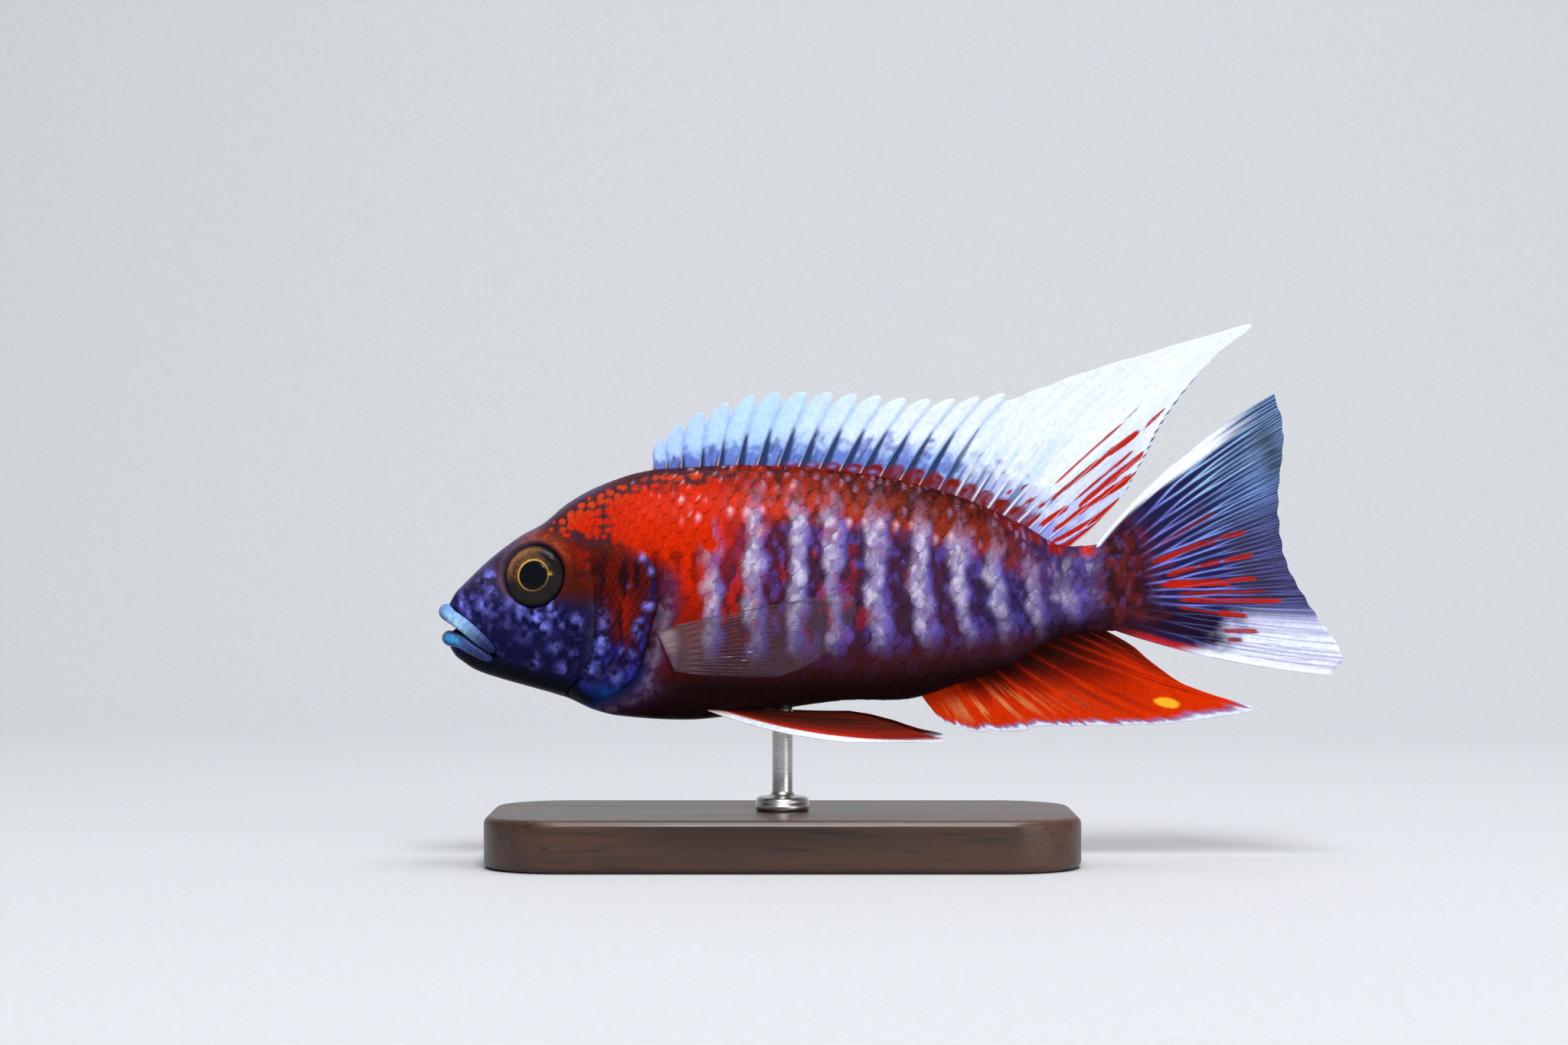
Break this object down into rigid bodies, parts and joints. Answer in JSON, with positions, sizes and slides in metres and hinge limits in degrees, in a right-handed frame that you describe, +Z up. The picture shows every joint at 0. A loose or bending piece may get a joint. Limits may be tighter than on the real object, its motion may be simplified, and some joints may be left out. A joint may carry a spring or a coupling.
{
  "type": "peacock cichlid model",
  "caption": "Life-size still model of a male peacock cichlid with spread fins, held level by a rod on a flat display stand.",
  "frame": {"origin": "centre of the underside of the display stand's base", "axes": "+Z up; the fish looks along -X with its left side towards -Y"},
  "size_m": [0.1413, 0.044, 0.084],
  "materials": {
    "head_skin": "wet fish skin, violet blue with pale blue markings",
    "lip_skin": "smooth wet skin, pale blue",
    "shoulder_skin": "wet scales, orange red",
    "flank_skin": "wet scales, violet with pale lavender bars",
    "eye": "polished, gold iris and black pupil",
    "pale_fin": "thin ribbed fin skin, ice blue to white",
    "red_fin": "thin ribbed fin skin, orange red with a white edge",
    "clear_fin": "thin ribbed fin skin, clear with fine rays",
    "stand_wood": "dark walnut, satin lacquer",
    "stand_metal": "satin steel"
  },
  "bodies": {
    "root": {"head": "head_skin", "lower_jaw": "lip_skin", "upper_lip": "lip_skin", "eye_left": "eye", "eye_right": "eye", "gill_cover_left": "shoulder_skin", "gill_cover_right": "shoulder_skin", "torso": "flank_skin", "tail_stalk": "flank_skin", "dorsal_fin": "pale_fin", "anal_fin": "red_fin", "tail_fin": "pale_fin", "pelvic_fin_left": "red_fin", "pelvic_fin_right": "red_fin", "pectoral_fin_left": "clear_fin", "pectoral_fin_right": "clear_fin", "stand_base": "stand_wood", "stand_rod": "stand_metal"}
  },
  "joints": []
}
